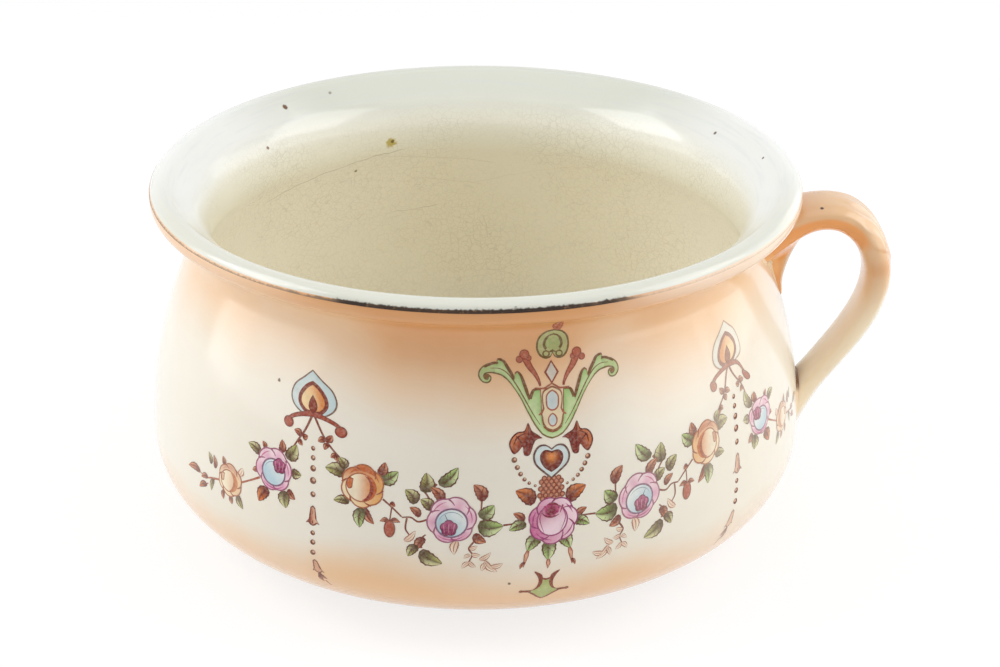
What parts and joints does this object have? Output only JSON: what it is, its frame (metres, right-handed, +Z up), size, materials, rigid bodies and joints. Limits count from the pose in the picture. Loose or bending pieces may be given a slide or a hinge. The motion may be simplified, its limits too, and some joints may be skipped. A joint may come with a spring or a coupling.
{
  "type": "chamber pot",
  "caption": "Low round-bellied earthenware pot with a narrow neck, a rolled flaring lip and a loop handle, glazed cream with a peach blush and printed rose swags.",
  "frame": {"origin": "middle of the foot ring's resting plane, on the table", "axes": "+Z up out of the mouth along the axis of the bowl, +X towards the handle"},
  "size_m": [0.2664, 0.234, 0.13],
  "materials": {
    "cream_glaze": "glossy crazed cream glaze with a sprayed peach blush under the lip and round the base, and printed flower swags",
    "tan_glaze": "glossy glaze over a tan and orange blush, pale on the edges",
    "slip": "glazed slip with orange colour pooled in the joint",
    "worn_gilding": "thin fired metal line, tarnished dark and worn through in places"
  },
  "bodies": {
    "root": {"bowl": "cream_glaze", "handle": "tan_glaze", "upper_luting": "slip", "lower_luting": "slip", "rim_line": "worn_gilding"}
  },
  "joints": []
}
